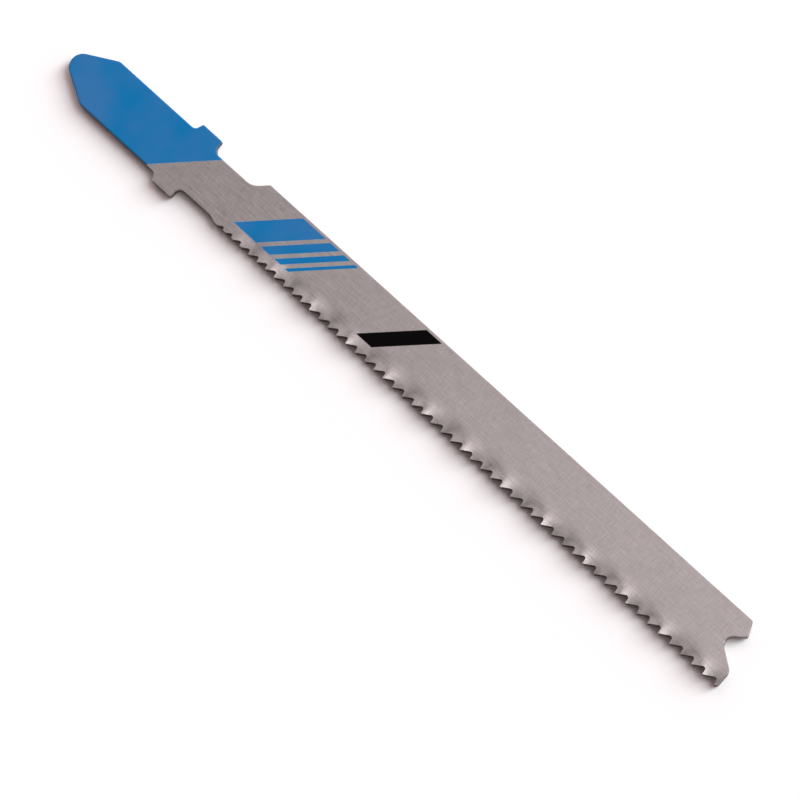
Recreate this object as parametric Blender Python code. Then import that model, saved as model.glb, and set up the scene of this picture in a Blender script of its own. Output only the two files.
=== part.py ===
# Jigsaw blade for sheet metal: one piece of high-speed-steel strip with a T-shank.
# The outline is blanked, the tooth edge is milled with gullets whose pitch grows
# towards the free end, and rollers then press the row of teeth into a wave.
# The drawing has its origin at the nose of the shank, on the shank's centre line:
# X runs to the free end, the teeth face -Y, and the printed side faces +Z.
import math

import bmesh
import bpy

# Strip
LENGTH = 0.0920
THICKNESS = 0.0010
EDGE_BREAK = 0.00010

# Shank, with its pointed nose
SHANK_WIDTH = 0.0060
NOSE_ANGLE = math.radians(28.8)
NOSE_RADIUS = 0.00142
NOSE_SHOULDER_RADIUS = 0.0008

# Lugs of the T, which take the push and pull of the saw
LUG_START = 0.01495
LUG_LENGTH = 0.00265
LUG_WIDTH = 0.00772
LUG_FRONT_ANGLE = math.radians(20.0)
LUG_CORNER_RADIUS = 0.00015
LUG_FRONT_FILLET = 0.00055
LUG_REAR_FILLET = 0.00080

# Neck between the lugs and the body
NECK_WIDTH = 0.0050
NECK_OFFSET = 0.0001
RAMP_ANGLE = math.radians(45.0)
RAMP_FILLET = 0.0017
HEEL_RAMP_ANGLE = math.radians(20.0)
HEEL_FILLET = 0.0010

# Body, which widens slightly towards the free end
BACK_HEIGHT = 0.00394
BODY_START = 0.0244
BODY_WIDTH_HEEL = 0.00662
BODY_WIDTH_END = 0.00724
BACK_CORNER_RADIUS = 0.00020

# Free end, blanked to a swallowtail that leaves the next blade its nose
NOTCH_DEPTH = 0.00242
NOTCH_HEIGHT = 0.00078
NOTCH_RADIUS = 0.00088
NOTCH_UPPER_ANGLE = math.radians(38.2)
NOTCH_LOWER_ANGLE = math.radians(34.7)
PRONG_SETBACK = 0.00100
PRONG_RADIUS = 0.00020
BACK_END_ANGLE = math.radians(26.0)
TOE_SETBACK = 0.00003
TOE_RADIUS = 0.0009

# Teeth
TEETH_START = 0.0228
LAST_TOOTH_SETBACK = 0.00036
PITCH_HEEL = 0.001155
PITCH_END = 0.00150
PITCH_GROWTH = 0.75
TIP_LAND = 0.00005
TOOTH_BACK_ANGLE = math.radians(33.0)
TOOTH_FACE_ANGLE = math.radians(9.5)
ROOT_RADIUS_SHARE = 0.17
FIRST_DEPTH_SHARE = 0.55
DEPTH_RUN_IN = 0.0070
ROOT_RADIUS_LIMIT = 0.9

# Wavy set
SET_HEIGHT = 0.00022
WAVE_LENGTH = 0.0054
LAST_CREST_SETBACK = 0.0022
SET_REACH = 0.0024
SET_FIRST_ROW = 0.0010
SET_FADE_IN = 0.0070

# Ink on the upper face of the shank, which ends in a slanting line
INK_EDGE = 0.01642
INK_EDGE_ANGLE = math.radians(45.0)

# Fineness of the mesh
FLAT_FACE_COSINE = 0.99
SMOOTH_LIMIT = math.radians(30.0)
ARC_STEP = math.radians(15.0)
ROOT_STEPS = 6
SET_ROWS = 4
SNAP = 1e-7

LAST_TIP = LENGTH - LAST_TOOTH_SETBACK


def tooth_line(x):
    """Height of the line through the tooth tips at a point along the blade."""
    heel = BACK_HEIGHT - BODY_WIDTH_HEEL
    end = BACK_HEIGHT - BODY_WIDTH_END
    return heel + (end - heel) * (x - TEETH_START) / (LAST_TIP - TEETH_START)


def pitch_at(x):
    """Tooth pitch, which grows from the heel to the free end."""
    share = max(0.0, (x - TEETH_START) / (LAST_TIP - TEETH_START))
    return PITCH_HEEL + (PITCH_END - PITCH_HEEL) * share ** PITCH_GROWTH


def tooth_tips():
    """Places of the tooth tips, counted back from the last tooth and listed from the heel."""
    tips = [LAST_TIP]
    while tips[-1] - pitch_at(tips[-1]) >= TEETH_START:
        tips.append(tips[-1] - pitch_at(tips[-1]))
    return tips[::-1]


def gullet(left, right):
    """One milled gullet: the sloping tooth back, the round root and the steep cutting face."""
    pitch = right - left
    slope = math.tan(TOOTH_BACK_ANGLE)
    lean = math.tan(TOOTH_FACE_ANGLE)
    radius = ROOT_RADIUS_SHARE * pitch
    back_share = radius / math.sin(TOOTH_BACK_ANGLE)
    face_share = radius / math.cos(TOOTH_FACE_ANGLE)
    full_depth = radius + (pitch - TIP_LAND - back_share - face_share) / (1 / slope + lean)
    run_in = FIRST_DEPTH_SHARE + (1 - FIRST_DEPTH_SHARE) * (left - TEETH_START) / DEPTH_RUN_IN
    depth = full_depth * min(1.0, run_in)
    radius = min(radius, ROOT_RADIUS_LIMIT * depth)
    centre_height = depth - radius
    centre_x = right - centre_height * lean - radius / math.cos(TOOTH_FACE_ANGLE)
    start_x = centre_x - radius / math.sin(TOOTH_BACK_ANGLE) - centre_height / slope

    first = math.pi / 2 + TOOTH_BACK_ANGLE
    last = TOOTH_FACE_ANGLE
    points = [(start_x, tooth_line(start_x))]
    for step in range(ROOT_STEPS + 1):
        angle = first + (last - first) * step / ROOT_STEPS
        x = centre_x + radius * math.cos(angle)
        points.append((x, tooth_line(x) + centre_height + radius * math.sin(angle)))
    points.append((right, tooth_line(right)))
    return points


def rounded(corners):
    """Outline through corners (x, y, radius), each fillet limited by the walls beside it."""
    count = len(corners)
    spans = []
    tangents = []
    for index, (x, y, radius) in enumerate(corners):
        before = corners[index - 1]
        after = corners[(index + 1) % count]
        heading_in = math.atan2(y - before[1], x - before[0])
        heading_out = math.atan2(after[1] - y, after[0] - x)
        turn = math.remainder(heading_out - heading_in, math.tau)
        spans.append(math.hypot(after[0] - x, after[1] - y))
        tangents.append((heading_in, turn, radius * math.tan(abs(turn) / 2)))

    outline = []
    for index, (x, y, radius) in enumerate(corners):
        heading, turn, tangent = tangents[index]
        before = tangent + tangents[index - 1][2]
        after = tangent + tangents[(index + 1) % count][2]
        if tangent <= SNAP:
            outline.append((x, y))
            continue
        fit = min(1.0, spans[index - 1] / before, spans[index] / after)
        tangent *= fit
        radius *= fit
        side = math.copysign(1.0, turn)
        start_x = x - tangent * math.cos(heading)
        start_y = y - tangent * math.sin(heading)
        centre_x = start_x - side * radius * math.sin(heading)
        centre_y = start_y + side * radius * math.cos(heading)
        steps = max(2, math.ceil(abs(turn) / ARC_STEP))
        for step in range(steps + 1):
            angle = heading + turn * step / steps
            outline.append((centre_x + side * radius * math.sin(angle),
                            centre_y - side * radius * math.cos(angle)))
    return outline


def blade_outline(tips):
    """Outline of the blank, anticlockwise from the nose: teeth first, then the back edge."""
    half = SHANK_WIDTH / 2
    nose_x = NOSE_RADIUS - NOSE_RADIUS / math.sin(NOSE_ANGLE)
    shoulder_x = nose_x + half / math.tan(NOSE_ANGLE)
    lug_end = LUG_START + LUG_LENGTH
    lug_top = BACK_HEIGHT
    lug_bottom = BACK_HEIGHT - LUG_WIDTH
    flank_top = LUG_START - (lug_top - half) * math.tan(LUG_FRONT_ANGLE)
    flank_bottom = LUG_START - (-half - lug_bottom) * math.tan(LUG_FRONT_ANGLE)
    neck_top = NECK_OFFSET + NECK_WIDTH / 2
    neck_bottom = NECK_OFFSET - NECK_WIDTH / 2
    heel_y = tooth_line(TEETH_START)
    heel_x = TEETH_START - (neck_bottom - heel_y) / math.tan(HEEL_RAMP_ANGLE)
    ramp_x = BODY_START - (BACK_HEIGHT - neck_top) / math.tan(RAMP_ANGLE)

    notch_half = (NOTCH_UPPER_ANGLE + NOTCH_LOWER_ANGLE) / 2
    notch_x = LENGTH - NOTCH_DEPTH - NOTCH_RADIUS * (1 / math.sin(notch_half) - 1)
    prong_x = LENGTH - PRONG_SETBACK
    prong_y = NOTCH_HEIGHT + (prong_x - notch_x) * math.tan(NOTCH_UPPER_ANGLE)
    back_end_x = prong_x - (BACK_HEIGHT - prong_y) * math.tan(BACK_END_ANGLE)
    toe_x = LENGTH - TOE_SETBACK
    toe_y = NOTCH_HEIGHT - (toe_x - notch_x) * math.tan(NOTCH_LOWER_ANGLE)
    last_back_y = tooth_line(LAST_TIP) + (LENGTH - LAST_TIP) * math.tan(TOOTH_BACK_ANGLE)

    teeth = [(TEETH_START, heel_y, 0.0)]
    for left, right in zip(tips, tips[1:]):
        teeth += [(x, y, 0.0) for x, y in gullet(left, right)]

    return rounded([
        (nose_x, 0.0, NOSE_RADIUS),
        (shoulder_x, -half, NOSE_SHOULDER_RADIUS),
        (flank_bottom, -half, LUG_FRONT_FILLET),
        (LUG_START, lug_bottom, LUG_CORNER_RADIUS),
        (lug_end, lug_bottom, LUG_CORNER_RADIUS),
        (lug_end, neck_bottom, LUG_REAR_FILLET),
        (heel_x, neck_bottom, HEEL_FILLET),
        *teeth,
        (LENGTH, last_back_y, 0.0),
        (toe_x, toe_y, TOE_RADIUS),
        (notch_x, NOTCH_HEIGHT, NOTCH_RADIUS),
        (prong_x, prong_y, PRONG_RADIUS),
        (back_end_x, BACK_HEIGHT, BACK_CORNER_RADIUS),
        (BODY_START, BACK_HEIGHT, BACK_CORNER_RADIUS),
        (ramp_x, neck_top, RAMP_FILLET),
        (lug_end, neck_top, LUG_REAR_FILLET),
        (lug_end, lug_top, LUG_CORNER_RADIUS),
        (LUG_START, lug_top, LUG_CORNER_RADIUS),
        (flank_top, half, LUG_FRONT_FILLET),
        (shoulder_x, half, NOSE_SHOULDER_RADIUS),
    ])


def material(name, colour, metallic, roughness):
    """Principled material with one finish."""
    finish = bpy.data.materials.new(name)
    finish.use_nodes = True
    shader = finish.node_tree.nodes["Principled BSDF"]
    shader.inputs["Base Color"].default_value = (*colour, 1.0)
    shader.inputs["Metallic"].default_value = metallic
    shader.inputs["Roughness"].default_value = roughness
    return finish


def plate(outline):
    """Flat plate with this outline, its underside at z = 0."""
    bm = bmesh.new()
    lower = bm.faces.new([bm.verts.new((x, y, 0.0)) for x, y in outline])
    raised = bmesh.ops.extrude_face_region(bm, geom=[lower])["geom"]
    upper = [item for item in raised if isinstance(item, bmesh.types.BMVert)]
    bmesh.ops.translate(bm, verts=upper, vec=(0.0, 0.0, THICKNESS))
    bmesh.ops.recalc_face_normals(bm, faces=bm.faces)
    return bm


def break_edges(bm):
    """Breaks the sharp rims that blanking leaves, but not those of the milled teeth."""
    def milled(vert):
        return vert.co.x > TEETH_START - SNAP and vert.co.y < tooth_line(vert.co.x) + SET_FIRST_ROW

    rims = []
    for edge in bm.edges:
        first, second = edge.verts
        level = abs(first.co.z - second.co.z) < SNAP
        if level and not (milled(first) and milled(second)):
            rims.append(edge)
    bmesh.ops.bevel(bm, geom=rims, offset=EDGE_BREAK, offset_type="OFFSET", segments=1,
                    profile=0.5, affect="EDGES", clamp_overlap=True, material=-1)


def cut(bm, faces, point, normal):
    """Adds edges where a plane crosses these faces."""
    parts = dict.fromkeys(part for face in faces for part in (*face.verts, *face.edges, face))
    bmesh.ops.bisect_plane(bm, geom=list(parts), dist=SNAP, plane_co=point, plane_no=normal)


def set_zone(bm):
    """Faces of the strip along the teeth that the set bends."""
    def inside(vert):
        reach = tooth_line(vert.co.x) + SET_REACH
        return vert.co.x > TEETH_START - 2 * SNAP and vert.co.y < reach + 2 * SNAP

    return [face for face in bm.faces if all(inside(vert) for vert in face.verts)]


def divide_set_zone(bm, tips):
    """Cuts the strip along the teeth into rows and columns fine enough to bend."""
    rise = (tooth_line(LAST_TIP) - tooth_line(TEETH_START)) / (LAST_TIP - TEETH_START)
    heel_y = tooth_line(TEETH_START)
    cut(bm, bm.faces, (TEETH_START, 0.0, 0.0), (1.0, 0.0, 0.0))
    body = [face for face in bm.faces if min(vert.co.x for vert in face.verts) > TEETH_START - 2 * SNAP]
    cut(bm, body, (TEETH_START, heel_y + SET_REACH, 0.0), (-rise, 1.0, 0.0))
    for row in range(1, SET_ROWS):
        reach = SET_FIRST_ROW + (SET_REACH - SET_FIRST_ROW) * row / SET_ROWS
        cut(bm, set_zone(bm), (TEETH_START, heel_y + reach, 0.0), (-rise, 1.0, 0.0))

    columns = []
    for left, right in zip(tips, tips[1:]):
        profile = gullet(left, right)
        deepest = max(profile, key=lambda point: point[1] - tooth_line(point[0]))
        columns += [left, (profile[0][0] + profile[1][0]) / 2, deepest[0]]
    for x in columns + [LAST_TIP]:
        crossed = [face for face in set_zone(bm)
                   if min(v.co.x for v in face.verts) < x < max(v.co.x for v in face.verts)]
        cut(bm, crossed, (x, 0.0, 0.0), (1.0, 0.0, 0.0))
    bmesh.ops.triangulate(bm, faces=set_zone(bm), quad_method="BEAUTY", ngon_method="BEAUTY")


def ease(share):
    """Smooth step from 0 to 1."""
    share = min(1.0, max(0.0, share))
    return (1 - math.cos(math.pi * share)) / 2


def set_offset(x, y):
    """Sideways bend of the steel: a wave along the teeth, steepest at the tips, flat in the body."""
    reach = max(0.0, 1 - (y - tooth_line(x)) / SET_REACH)
    towards_teeth = 1 - math.cos(math.pi / 2 * reach)
    fade_in = ease((x - TEETH_START) / SET_FADE_IN)
    phase = math.tau * (x - (LENGTH - LAST_CREST_SETBACK)) / WAVE_LENGTH
    return SET_HEIGHT * math.cos(phase) * towards_teeth * fade_in


def ink_shank(bm, slot):
    """Gives the upper face of the shank, up to a slanting line, the ink's material."""
    across = (math.sin(INK_EDGE_ANGLE), -math.cos(INK_EDGE_ANGLE), 0.0)

    def shank_top():
        return [face for face in bm.faces if face.normal.z > FLAT_FACE_COSINE
                and min(vert.co.x for vert in face.verts) < TEETH_START - SNAP]

    cut(bm, shank_top(), (INK_EDGE, 0.0, THICKNESS), across)
    for face in shank_top():
        middle = face.calc_center_median()
        if (middle.x - INK_EDGE) * across[0] + middle.y * across[1] < 0:
            face.material_index = slot


for existing in list(bpy.data.objects):
    bpy.data.objects.remove(existing, do_unlink=True)

tips = tooth_tips()
bm = plate(blade_outline(tips))
break_edges(bm)
divide_set_zone(bm, tips)
ink_shank(bm, 1)
for vert in bm.verts:
    vert.co.z += set_offset(vert.co.x, vert.co.y)

mesh = bpy.data.meshes.new("jigsaw_blade")
bm.to_mesh(mesh)
bm.free()
mesh.materials.append(material("high_speed_steel", (0.56, 0.54, 0.53), 1.0, 0.35))
mesh.materials.append(material("blue_shank_ink", (0.021, 0.165, 0.392), 0.0, 0.40))
mesh.shade_smooth()
mesh.set_sharp_from_angle(angle=SMOOTH_LIMIT)

# The blade's own origin goes under its middle, level with its lowest point, as it lies on its side
blade = bpy.data.objects.new("jigsaw_blade", mesh)
bpy.context.scene.collection.objects.link(blade)
lowest = [min(vert.co[axis] for vert in mesh.vertices) for axis in range(3)]
highest = [max(vert.co[axis] for vert in mesh.vertices) for axis in range(3)]
blade.location = (-(lowest[0] + highest[0]) / 2, -(lowest[1] + highest[1]) / 2, -lowest[2])
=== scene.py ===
# A jigsaw blade for metal with a T-shank, lying on its side on a white table.
# Everything is in metres, in the part's own frame: X runs along the blade to its free end,
# the teeth face -Y, and the printed side faces +Z.
import math

import bmesh
import bpy
from mathutils import Matrix, Vector


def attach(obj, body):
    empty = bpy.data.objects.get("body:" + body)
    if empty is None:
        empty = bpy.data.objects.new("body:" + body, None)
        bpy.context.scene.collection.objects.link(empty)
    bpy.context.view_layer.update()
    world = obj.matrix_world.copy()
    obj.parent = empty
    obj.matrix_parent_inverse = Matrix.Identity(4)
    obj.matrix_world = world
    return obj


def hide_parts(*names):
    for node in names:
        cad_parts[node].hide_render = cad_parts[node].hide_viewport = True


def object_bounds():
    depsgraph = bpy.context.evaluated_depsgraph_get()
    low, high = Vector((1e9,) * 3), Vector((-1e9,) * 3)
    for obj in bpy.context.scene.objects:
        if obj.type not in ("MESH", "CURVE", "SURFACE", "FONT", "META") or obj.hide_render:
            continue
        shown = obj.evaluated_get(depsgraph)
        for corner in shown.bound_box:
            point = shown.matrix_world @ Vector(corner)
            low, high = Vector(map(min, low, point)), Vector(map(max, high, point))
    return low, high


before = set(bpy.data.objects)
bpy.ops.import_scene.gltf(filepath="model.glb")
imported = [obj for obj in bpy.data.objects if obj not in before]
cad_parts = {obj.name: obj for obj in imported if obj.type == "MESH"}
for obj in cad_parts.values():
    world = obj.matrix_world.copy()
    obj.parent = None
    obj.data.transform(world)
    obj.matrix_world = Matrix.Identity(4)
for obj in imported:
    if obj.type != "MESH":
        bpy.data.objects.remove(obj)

cad_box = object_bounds()

# The blade: one strip of high-speed steel, blanked and ground flat. Its teeth are milled
# into the lower edge, and rollers press them into a gentle wave, so that the cut comes out
# wider than the strip. Blue and black ink are printed on one side.
STRIP_TOP = 0.00122
TOOTH_ROW_START = -0.023205
LAST_TIP = 0.045635
TIP_LINE_HEEL = -0.00276
TIP_LINE_END = -0.00338
SET_HEIGHT = 0.00022
WAVE_LENGTH = 0.0054
LAST_CREST = 0.043795
SET_REACH = 0.0024
SET_FADE_IN = 0.0070
BEND_START = -0.0229
BEND_COLUMN = 0.00022
BEND_ROW = 0.0002
SAME_POINT = 1e-6
ON_THE_LINE = 2e-6
FLAT_TOLERANCE = math.radians(0.5)
SMOOTH_LIMIT = math.radians(30.0)
WALL_UPWARDNESS = 0.5


def tip_line(x):
    """Where the line through the tooth tips lies at a point along the blade."""
    rise = (TIP_LINE_END - TIP_LINE_HEEL) / (LAST_TIP - TOOTH_ROW_START)
    return TIP_LINE_HEEL + rise * (x - TOOTH_ROW_START)


def wave_of_the_set(x, y):
    """How far the rollers press the steel out of the strip's plane."""
    reach = max(0.0, 1 - (y - tip_line(x)) / SET_REACH)
    towards_teeth = 1 - math.cos(math.pi / 2 * reach)
    fade_in = min(1.0, max(0.0, (x - TOOTH_ROW_START) / SET_FADE_IN))
    fade_in = (1 - math.cos(math.pi * fade_in)) / 2
    phase = math.tau * (x - LAST_CREST) / WAVE_LENGTH
    return SET_HEIGHT * math.cos(phase) * towards_teeth * fade_in


def cut_across(steel, faces, point, normal):
    """Adds an edge wherever a plane crosses these faces."""
    parts = dict.fromkeys(part for face in faces for part in (*face.verts, *face.edges, face))
    bmesh.ops.bisect_plane(steel, geom=list(parts), dist=ON_THE_LINE, plane_co=point, plane_no=normal)


def tooth_strip(steel):
    """The faces of the strip along the teeth, where the steel bends."""
    return [face for face in steel.faces
            if all(vert.co.x > BEND_START - ON_THE_LINE
                   and vert.co.y < tip_line(vert.co.x) + SET_REACH + ON_THE_LINE for vert in face.verts)]


# the strip is laid flat and cleared of edges, ruled into small fields at the teeth, and bent again
steel = bmesh.new()
steel.from_mesh(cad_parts["jigsaw_blade"].data)
bmesh.ops.remove_doubles(steel, verts=steel.verts, dist=SAME_POINT)
for vert in steel.verts:
    vert.co.z -= wave_of_the_set(vert.co.x, vert.co.y)
bmesh.ops.dissolve_limit(steel, angle_limit=FLAT_TOLERANCE, use_dissolve_boundaries=False,
                         verts=steel.verts, edges=steel.edges, delimit=set())

along_tips = Vector((LAST_TIP - TOOTH_ROW_START, TIP_LINE_END - TIP_LINE_HEEL, 0.0))
off_tips = Vector((-along_tips.y, along_tips.x, 0.0))
cut_across(steel, steel.faces, (BEND_START, 0.0, 0.0), (1.0, 0.0, 0.0))
body = [face for face in steel.faces if min(vert.co.x for vert in face.verts) > BEND_START - ON_THE_LINE]
cut_across(steel, body, (TOOTH_ROW_START, TIP_LINE_HEEL + SET_REACH, 0.0), off_tips)
columns = int((cad_box[1][0] - BEND_START) / BEND_COLUMN)
for column in range(1, columns + 1):
    x = BEND_START + column * BEND_COLUMN
    crossed = [face for face in tooth_strip(steel)
               if min(vert.co.x for vert in face.verts) < x < max(vert.co.x for vert in face.verts)]
    cut_across(steel, crossed, (x, 0.0, 0.0), (1.0, 0.0, 0.0))
for row in range(1, int(SET_REACH / BEND_ROW)):
    cut_across(steel, tooth_strip(steel), (TOOTH_ROW_START, TIP_LINE_HEEL + row * BEND_ROW, 0.0), off_tips)
bmesh.ops.triangulate(steel, faces=[face for face in tooth_strip(steel) if len(face.verts) > 4],
                      quad_method="BEAUTY", ngon_method="BEAUTY")
for vert in steel.verts:
    vert.co.z += wave_of_the_set(vert.co.x, vert.co.y)

# ground faces take the first material, walls the second
for face in steel.faces:
    face.material_index = int(abs(face.normal.z) < WALL_UPWARDNESS)

blade_mesh = bpy.data.meshes.new("finished_blade")
steel.to_mesh(blade_mesh)
steel.free()
blade_mesh.attributes.remove(blade_mesh.attributes["custom_normal"])
blade_mesh.shade_smooth()
blade_mesh.set_sharp_from_angle(angle=SMOOTH_LIMIT)
blade = bpy.data.objects.new("finished_blade", blade_mesh)
bpy.context.scene.collection.objects.link(blade)


def add(kind, values=(), **settings):
    """Adds a node to the tree at hand; values go to its inputs, and a value that is a socket is linked."""
    node = tree.nodes.new(kind)
    for name, value in settings.items():
        setattr(node, name, value)
    for place, value in dict(values).items():
        if isinstance(value, bpy.types.NodeSocket):
            tree.links.new(value, node.inputs[place])
        else:
            node.inputs[place].default_value = value
    return node


def maths(operation, first, second=0.0, clamp=False):
    """One sum, product or comparison of two values."""
    return add("ShaderNodeMath", {0: first, 1: second}, operation=operation, use_clamp=clamp).outputs[0]


def contrast(pattern, span):
    """Spreads a narrow band of a pattern over 0 to 1."""
    return add("ShaderNodeMapRange", {"Value": pattern, "From Min": span[0], "From Max": span[1]}).outputs[0]


def between(share, first, second):
    """A value between two values."""
    return add("ShaderNodeMix", {"Factor": share, "A": first, "B": second}, data_type="FLOAT").outputs[0]


def mixed(share, first, second):
    """A colour between two colours."""
    node = add("ShaderNodeMix", {"Factor": share}, data_type="RGBA")
    for socket, value in (("A_Color", first), ("B_Color", second)):
        target = next(item for item in node.inputs if item.identifier == socket)
        if isinstance(value, bpy.types.NodeSocket):
            tree.links.new(value, target)
        else:
            target.default_value = (*value, 1.0)
    return next(item for item in node.outputs if item.identifier == "Result_Color")


def shades(colour, dark_and_light):
    """The dark and the light shade of a colour."""
    return [tuple(share * channel for channel in colour) for share in dark_and_light]


# The lines that a belt or a cutter leaves: how many there are per metre, each way
LINE_DETAIL = 3.0
LINE_BREAKS = 0.6

line_effect = bpy.data.node_groups.new("tool_lines", "ShaderNodeTree")
line_effect.interface.new_socket(name="Position", in_out="INPUT", socket_type="NodeSocketVector")
line_effect.interface.new_socket(name="Along", in_out="INPUT", socket_type="NodeSocketFloat")
line_effect.interface.new_socket(name="Across", in_out="INPUT", socket_type="NodeSocketFloat")
line_effect.interface.new_socket(name="Lines", in_out="OUTPUT", socket_type="NodeSocketFloat")
tree = line_effect
given = add("NodeGroupInput").outputs
stretch = add("ShaderNodeCombineXYZ", {0: given["Along"], 1: given["Across"], 2: given["Across"]}).outputs[0]
stretched = add("ShaderNodeVectorMath", {0: given["Position"], 1: stretch}, operation="MULTIPLY").outputs[0]
grain = add("ShaderNodeTexNoise", {
    "Vector": stretched, "Scale": 1.0, "Detail": LINE_DETAIL, "Roughness": LINE_BREAKS})
add("NodeGroupOutput", {"Lines": grain.outputs["Fac"]})


def tool_lines(along, across):
    """The pattern of such lines, with so many per metre along the blade and across it."""
    return add("ShaderNodeGroup", {"Position": position, "Along": along, "Across": across},
               node_tree=line_effect).outputs["Lines"]


# The ground steel: fine lengthwise lines, fainter ones across, and clouds of light and dark
STEEL = (0.400, 0.355, 0.352)
STREAK_SHADES = (0.83, 1.17)
FINE_LINES = (450.0, 9000.0)
BROAD_LINES = (200.0, 5000.0)
CROSS_LINES = (8000.0, 900.0)
CLOUDS = 190.0
CLOUD_DETAIL = 2.0
FINE_SHARE = 0.45
BROAD_SHARE = 0.10
CROSS_SHARE = 0.35
CLOUD_SHARE = 0.10
STREAK_BAND = (0.36, 0.64)
STEEL_ROUGHNESS = 0.22
ROUGHNESS_SPREAD = 0.16
LINE_DEPTH = 0.00001
LINE_RELIEF = 0.25
CROSS_RELIEF = 0.3

finish = bpy.data.materials.new("high_speed_steel_with_print")
finish.use_nodes = True
tree = finish.node_tree
shader = tree.nodes["Principled BSDF"]
position = add("ShaderNodeTexCoord").outputs["Object"]
x_place, y_place, z_place = add("ShaderNodeSeparateXYZ", {0: position}).outputs
fine_lines = tool_lines(*FINE_LINES)
broad_lines = tool_lines(*BROAD_LINES)
cross_lines = tool_lines(*CROSS_LINES)
clouds = add("ShaderNodeTexNoise", {
    "Vector": position, "Scale": CLOUDS, "Detail": CLOUD_DETAIL}).outputs["Fac"]

streaks = maths("MULTIPLY", fine_lines, FINE_SHARE)
for pattern, share in ((broad_lines, BROAD_SHARE), (cross_lines, CROSS_SHARE), (clouds, CLOUD_SHARE)):
    streaks = maths("ADD", streaks, maths("MULTIPLY", pattern, share))
steel_colour = mixed(contrast(streaks, STREAK_BAND), *shades(STEEL, STREAK_SHADES))
steel_roughness = maths("ADD", maths("MULTIPLY", fine_lines, ROUGHNESS_SPREAD),
                        STEEL_ROUGHNESS - ROUGHNESS_SPREAD / 2)
relief = maths("ADD", fine_lines, maths("MULTIPLY", cross_lines, CROSS_RELIEF))
bump = add("ShaderNodeBump", {"Height": relief, "Strength": LINE_RELIEF, "Distance": LINE_DEPTH})
tree.links.new(bump.outputs[0], shader.inputs["Normal"])

# The print: a blue field over the shank's end, slanting blue bars and one black bar. Its
# outline wanders by a few hundredths of a millimetre, as a pad print's does.
BLUE_INK = (0.006, 0.156, 0.382)
THIN_BLUE_INK = (0.032, 0.157, 0.376)
THIN_INK_BAND = (0.35, 0.65)
BLACK_INK = (0.002, 0.0015, 0.0016)
INK_GLOSS = 0.02
INK_ROUGHNESS = 0.6
INK_SLANT = math.radians(45.0)
INK_WRAP = 0.00013
INK_EDGE = 0.00006
INK_WANDER = 0.00006
WANDER_GRAIN = 9000.0
WANDER_DETAIL = 2.0
SHANK_INK_END = -0.02950
PRINT_BOTTOM = -0.00146
PRINT_TOP = 0.00358
BLUE_STRIPES = ((-0.0187, 0.0032), (-0.01585, 0.0013), (-0.01415, 0.0009), (-0.01285, 0.0005))
BLACK_BAR = (-0.00208, 0.00213)

uneven = add("ShaderNodeTexNoise", {"Vector": position, "Scale": WANDER_GRAIN, "Detail": WANDER_DETAIL})
wander = maths("MULTIPLY", maths("SUBTRACT", uneven.outputs["Fac"], 0.5), INK_WANDER)
slanted = maths("SUBTRACT", x_place, maths("MULTIPLY", y_place, math.tan(INK_SLANT)))
slanted = maths("ADD", slanted, wander)
upper_face = maths("GREATER_THAN", z_place, STRIP_TOP - INK_WRAP)
above_bottom = maths("ADD", maths("SUBTRACT", y_place, PRINT_BOTTOM), wander)
below_top = maths("SUBTRACT", maths("ADD", wander, PRINT_TOP), y_place)


def ink_area(*distances):
    """Mask of the area where every distance (metres, positive inside) holds, with a soft edge."""
    nearest = distances[0]
    for distance in distances[1:]:
        nearest = maths("MINIMUM", nearest, distance)
    return maths("ADD", maths("DIVIDE", nearest, INK_EDGE), 0.5, clamp=True)


def slanted_bar(middle, width):
    """Mask of one slanting bar between the lower and the upper line of the print."""
    start = maths("SUBTRACT", slanted, middle - width / 2)
    end = maths("SUBTRACT", middle + width / 2, slanted)
    return ink_area(start, end, above_bottom, below_top)


blue = ink_area(maths("MULTIPLY", maths("SUBTRACT", SHANK_INK_END, slanted), math.cos(INK_SLANT)))
for middle, width in BLUE_STRIPES:
    blue = maths("MAXIMUM", blue, slanted_bar(middle, width))
blue = maths("MULTIPLY", blue, upper_face)
black = maths("MULTIPLY", slanted_bar(*BLACK_BAR), upper_face)
blue_ink = mixed(contrast(clouds, THIN_INK_BAND), THIN_BLUE_INK, BLUE_INK)
colour = mixed(black, mixed(blue, steel_colour, blue_ink), BLACK_INK)
ink = maths("MAXIMUM", blue, black)
shader.inputs["Specular IOR Level"].default_value = INK_GLOSS
tree.links.new(colour, shader.inputs["Base Color"])
tree.links.new(maths("SUBTRACT", 1.0, ink), shader.inputs["Metallic"])
tree.links.new(between(ink, steel_roughness, INK_ROUGHNESS), shader.inputs["Roughness"])

# The walls that the punch and the milling cutter leave: rougher, and darker than the ground steel, partly
# for their cut surface and partly as painted shade; darkest in the gullets, where the extra darkening is
# painted shade
# painted shade: both wall colours are darkened to stand for the shade on the walls, and the milled one, used
# in the gullets, darker still
CUT_WALL_AND_PAINTED_SHADE = (0.150, 0.120, 0.110)
MILLED_WALL_PAINTED_SHADE = (0.085, 0.055, 0.050)
CUTTER_SHADES = (0.6, 1.4)
CUTTER_MARKS = (9000.0, 3000.0)
CUTTER_RELIEF = 0.3
GULLET_TOP = -0.0018
CUT_WALL_ROUGHNESS = 0.65

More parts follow.
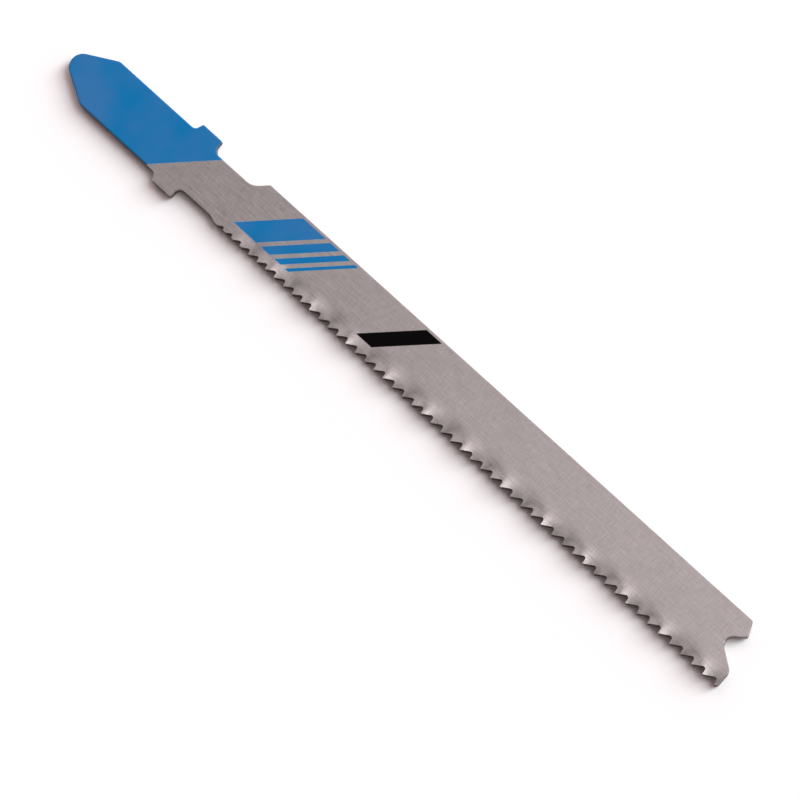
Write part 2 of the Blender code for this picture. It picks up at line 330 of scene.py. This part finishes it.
cut_wall_and_painted_shade = bpy.data.materials.new("cut_wall_and_painted_shade")
cut_wall_and_painted_shade.use_nodes = True
tree = cut_wall_and_painted_shade.node_tree
shader = tree.nodes["Principled BSDF"]
shader.inputs["Metallic"].default_value = 1.0
shader.inputs["Roughness"].default_value = CUT_WALL_ROUGHNESS
position = add("ShaderNodeTexCoord").outputs["Object"]
x_place, y_place, _ = add("ShaderNodeSeparateXYZ", {0: position}).outputs
cutter_marks = tool_lines(*CUTTER_MARKS)
# mask of the gullet walls, which get the darker colour as painted shade in the recesses
milled_painted_shade = maths("MULTIPLY", maths("GREATER_THAN", x_place, TOOTH_ROW_START),
               maths("LESS_THAN", y_place, GULLET_TOP))
wall_dark, wall_light = (
    mixed(milled_painted_shade, punched, milled_shaded)
    for punched, milled_shaded in zip(shades(CUT_WALL_AND_PAINTED_SHADE, CUTTER_SHADES), shades(MILLED_WALL_PAINTED_SHADE, CUTTER_SHADES)))
tree.links.new(mixed(cutter_marks, wall_dark, wall_light), shader.inputs["Base Color"])
bump = add("ShaderNodeBump", {"Height": cutter_marks, "Strength": CUTTER_RELIEF, "Distance": LINE_DEPTH})
tree.links.new(bump.outputs[0], shader.inputs["Normal"])

blade_mesh.materials.append(finish)
blade_mesh.materials.append(cut_wall_and_painted_shade)
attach(blade, "root")
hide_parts("jigsaw_blade")

# The table under the blade: a plain white board, painted matt, that keeps the blade's
# shadow. Seen directly or mirrored, it shows a touch brighter.
TABLE_SIZE = 3.0
BOARD_PAINT = (0.93, 0.93, 0.935, 1.0)
BOARD_GLOW = (1.0, 0.99, 1.0, 1.0)
GLOW_STRENGTH = 0.01

board = bmesh.new()
bmesh.ops.create_grid(board, x_segments=1, y_segments=1, size=TABLE_SIZE / 2)
table_mesh = bpy.data.meshes.new("white_table")
board.to_mesh(table_mesh)
board.free()
table = bpy.data.objects.new("white_table", table_mesh)
bpy.context.scene.collection.objects.link(table)
white_board = bpy.data.materials.new("white_board")
white_board.use_nodes = True
tree = white_board.node_tree
tree.nodes.remove(tree.nodes["Principled BSDF"])
paint = add("ShaderNodeBsdfDiffuse", {"Color": BOARD_PAINT}).outputs[0]
glow = add("ShaderNodeEmission", {"Color": BOARD_GLOW, "Strength": GLOW_STRENGTH}).outputs[0]
seen = add("ShaderNodeLightPath").outputs
seen_directly = maths("MAXIMUM", seen["Is Camera Ray"], seen["Is Glossy Ray"])
seen_directly = maths("MAXIMUM", seen_directly, seen["Is Transmission Ray"])
both = add("ShaderNodeAddShader", {0: paint, 1: glow}).outputs[0]
surface = add("ShaderNodeMixShader", {0: seen_directly, 1: paint, 2: both}).outputs[0]
tree.links.new(surface, tree.nodes["Material Output"].inputs[0])
table_mesh.materials.append(white_board)

# The camera: a long lens that looks down on the blade, leaning a little towards its free
# end and its teeth, and turned so that the blade crosses the picture from corner to corner.
VIEW_POINT = Vector((0.003341, -0.003427, STRIP_TOP))
VIEW_DISTANCE = 0.425
LEAN_TO_FREE_END = math.radians(11.53)
LEAN_TO_TEETH = math.radians(4.0)
TURN_OF_PICTURE = math.radians(42.298)
LENS = 191.5
SENSOR_WIDTH = 36.0
NEAREST_SEEN = 0.01

towards_camera = Vector((math.tan(LEAN_TO_FREE_END), -math.tan(LEAN_TO_TEETH), 1.0)).normalized()
level = (Vector((1.0, 0.0, 0.0)) - towards_camera * towards_camera.x).normalized()
upright = towards_camera.cross(level)
right = level * math.cos(TURN_OF_PICTURE) + upright * math.sin(TURN_OF_PICTURE)
up = upright * math.cos(TURN_OF_PICTURE) - level * math.sin(TURN_OF_PICTURE)
camera_data = bpy.data.cameras.new("camera")
camera_data.lens = LENS
camera_data.sensor_width = SENSOR_WIDTH
camera_data.clip_start = NEAREST_SEEN
camera = bpy.data.objects.new("camera", camera_data)
bpy.context.scene.collection.objects.link(camera)
camera.location = VIEW_POINT + towards_camera * VIEW_DISTANCE
camera.rotation_euler = Matrix((right, up, towards_camera)).transposed().to_euler()
bpy.context.scene.camera = camera

# The light: two large soft lamps beyond the back edge, in a room whose half behind them is
# white and whose half behind the camera is dim. What the steel mirrors is that room's
# ceiling, with a dark doorway, a window and a curtain along it and a glint of the lamps.
LAMP_TURN = math.radians(65.0)
HIGH_LAMP = (1.54, math.radians(49.0), math.radians(36.0))
LOW_LAMP = (1.60, math.radians(25.0), math.radians(26.0))
LAMP_TINT = (0.86, 1.0, 1.0)
WALL_TINT = (1.0, 0.77, 0.78)
CEILING_TINT = (1.0, 0.97, 0.98)
BACKGROUND = (1.0, 1.0, 1.0)
BACKGROUND_STRENGTH = 1.0

for name, (strength, height, softness) in (("high_lamp", HIGH_LAMP), ("low_lamp", LOW_LAMP)):
    lamp_data = bpy.data.lights.new(name, "SUN")
    lamp_data.energy = strength
    lamp_data.angle = softness
    lamp_data.color = LAMP_TINT
    lamp = bpy.data.objects.new(name, lamp_data)
    bpy.context.scene.collection.objects.link(lamp)
    from_lamp = Vector((math.cos(height) * math.cos(LAMP_TURN), math.cos(height) * math.sin(LAMP_TURN),
                        math.sin(height)))
    lamp.rotation_euler = from_lamp.to_track_quat("Z", "Y").to_euler()

# each step of the room: where it starts and ends, in parts of a direction of length 1, and its two levels
HALF_DOME = ((-0.06, 0.10), (0.056, 1.23))
DARK_DOORWAY = ((-0.305, -0.17), (0.14, 0.98))
LEFT_WINDOW = ((-0.36, -0.28), (0.66, 0.0))
RIGHT_CURTAIN = ((-0.07, 0.09), (0.0, -0.40))
BACK_WALL = ((-0.25, 0.25), (0.82, 1.34))
GLINT_START = ((0.27, 0.37), (0.0, 1.0))
GLINT_END = ((0.50, 0.60), (1.0, 0.0))
GLINT_ALONG = ((-0.24, -0.08), (-0.30, 1.60))

room = bpy.data.worlds.new("white_room")
room.use_nodes = True
bpy.context.scene.world = room
tree = room.node_tree
walls = tree.nodes["Background"]
seen = add("ShaderNodeLightPath").outputs
direction = add("ShaderNodeTexCoord").outputs["Generated"]
along_room, across_room, _ = add("ShaderNodeSeparateXYZ", {0: direction}).outputs


def graded(value, span, levels):
    """A soft step between two levels, across a span of the value."""
    return add("ShaderNodeMapRange", {
        "Value": value, "From Min": span[0], "From Max": span[1], "To Min": levels[0], "To Max": levels[1],
    }, interpolation_type="SMOOTHSTEP").outputs[0]


half_dome = graded(across_room, *HALF_DOME)
lengthwise = maths("ADD", graded(along_room, *DARK_DOORWAY), graded(along_room, *LEFT_WINDOW))
lengthwise = maths("ADD", lengthwise, graded(along_room, *RIGHT_CURTAIN))
glint = maths("MULTIPLY", graded(across_room, *GLINT_START), graded(across_room, *GLINT_END))
glint = maths("MULTIPLY", glint, graded(along_room, *GLINT_ALONG))
crosswise = maths("ADD", graded(across_room, *BACK_WALL), glint)
ceiling = maths("MULTIPLY", lengthwise, crosswise)
mirrored = maths("MAXIMUM", seen["Is Glossy Ray"], seen["Is Transmission Ray"])
strength = between(seen["Is Camera Ray"], between(mirrored, half_dome, ceiling), BACKGROUND_STRENGTH)
tint = mixed(seen["Is Camera Ray"], mixed(mirrored, WALL_TINT, CEILING_TINT), BACKGROUND)
tree.links.new(strength, walls.inputs["Strength"])
tree.links.new(tint, walls.inputs["Color"])

bpy.context.scene.view_settings.view_transform = "Standard"
